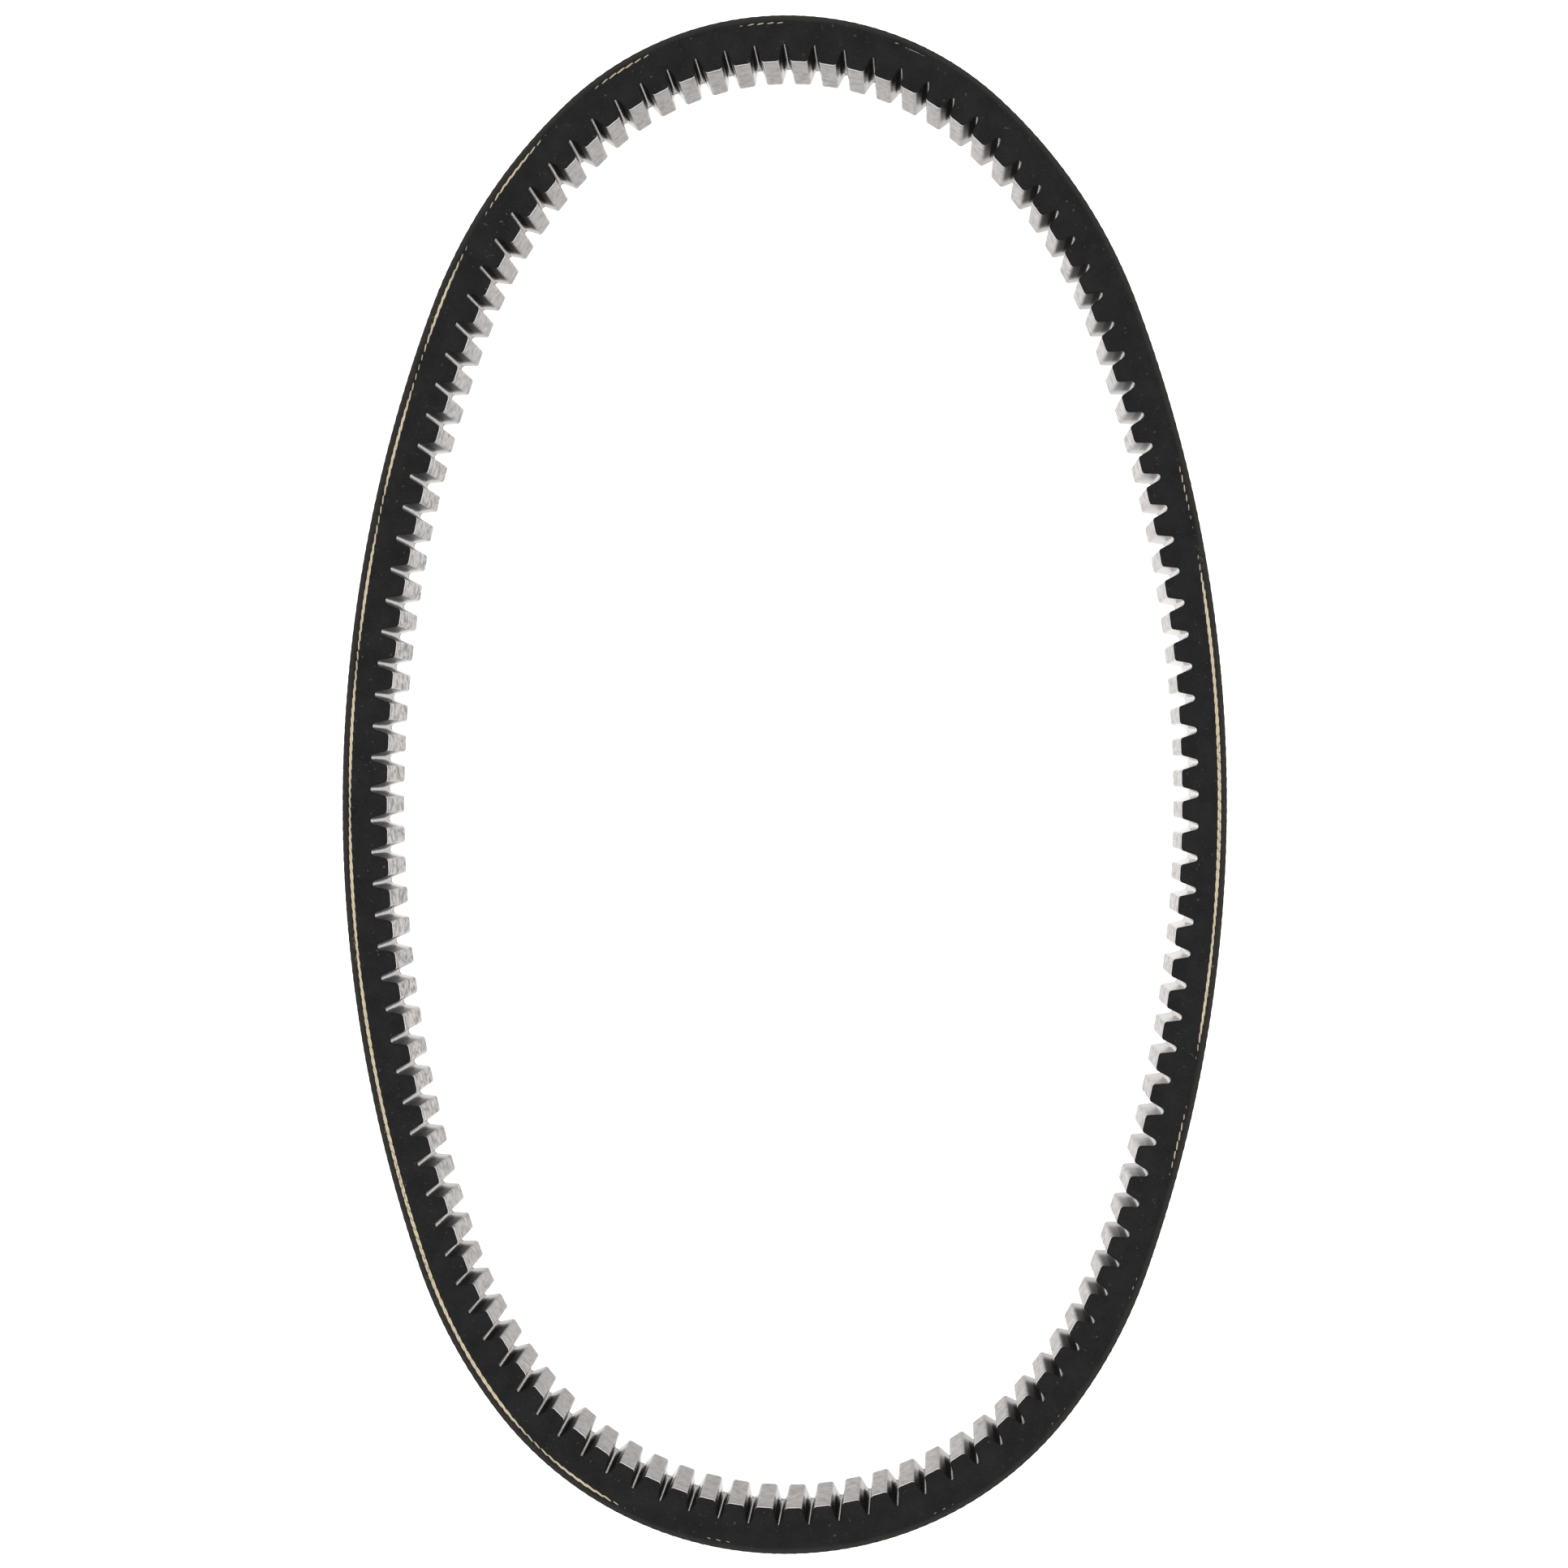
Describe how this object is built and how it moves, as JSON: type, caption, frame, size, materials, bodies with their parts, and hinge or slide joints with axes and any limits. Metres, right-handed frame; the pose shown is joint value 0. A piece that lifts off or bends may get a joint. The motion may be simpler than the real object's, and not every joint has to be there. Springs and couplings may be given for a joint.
{
  "type": "cogged variable-speed v-belt",
  "caption": "Endless raw-edge V-belt with moulded cogs on its inside and twisted tensile cord near its back, for a split-pulley variable-speed drive.",
  "frame": {"origin": "under the centre of the loop, on the surface that the belt lies on", "axes": "+Z along the loop's axis, +Y along the oval's long axis towards its narrower end, +X across the oval"},
  "size_m": [0.24, 0.4168, 0.03],
  "materials": {
    "back_fabric": "rubber-filled canvas weave, matt",
    "tension_rubber": "raw cut, matt",
    "adhesion_rubber": "raw cut, matt",
    "tensile_cord": "dipped twisted polyester, cut flush at the side faces",
    "compression_rubber": "raw cut with short fibres, matt",
    "cog_facing": "rubber-filled stretch fabric, slight sheen"
  },
  "bodies": {
    "root": {"back_fabric_outer": "back_fabric", "back_fabric_inner": "back_fabric", "tension_rubber": "tension_rubber", "adhesion_rubber_upper": "adhesion_rubber", "tensile_cord_a": "tensile_cord", "tensile_cord_b": "tensile_cord", "adhesion_rubber_lower": "adhesion_rubber", "compression_rubber": "compression_rubber", "cog_facing_fabric": "cog_facing"}
  },
  "joints": []
}
